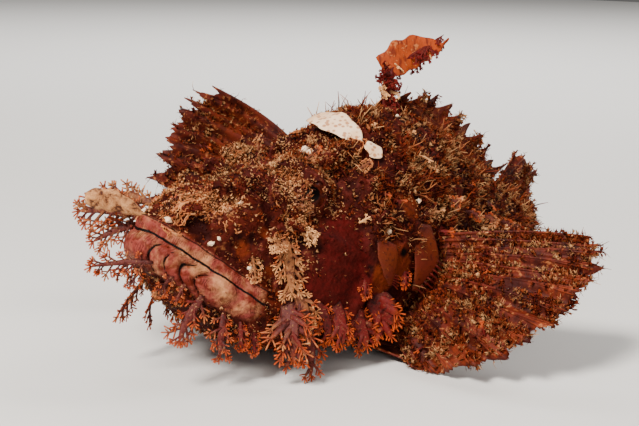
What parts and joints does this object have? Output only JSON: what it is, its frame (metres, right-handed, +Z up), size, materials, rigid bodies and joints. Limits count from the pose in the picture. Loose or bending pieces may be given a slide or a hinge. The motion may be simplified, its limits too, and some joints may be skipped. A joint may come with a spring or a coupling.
{
  "type": "tasselled scorpionfish model",
  "caption": "Life-size still model of a tasselled scorpionfish resting on its belly and fins, with lobed skin tassels along its jaws and a raised leafy spine on its back.",
  "frame": {"origin": "below the middle of the bounding box, on the floor that the fish rests on", "axes": "+X towards the fish's snout, +Y to its left side, +Z up"},
  "size_m": [0.3004, 0.1938, 0.1277],
  "materials": {
    "head_skin": "rough painted skin, mottled dark red, orange and cream",
    "jaw_skin": "painted skin, pale pink and cream with dark bands",
    "body_skin": "rough painted skin, mottled brown red",
    "fin": "ribbed painted membrane, red brown and orange",
    "eye": "gloss, dark brown"
  },
  "bodies": {
    "root": {"head": "head_skin", "lower_jaw": "jaw_skin", "torso": "body_skin", "tail_stem": "body_skin", "eye_left": "eye", "eye_right": "eye", "dorsal_fin_spiny": "fin", "dorsal_fin_soft": "fin", "anal_fin": "fin", "tail_fin": "fin", "pectoral_fin_left": "fin", "pectoral_fin_right": "fin", "pelvic_fin_left": "fin", "pelvic_fin_right": "fin"}
  },
  "joints": []
}
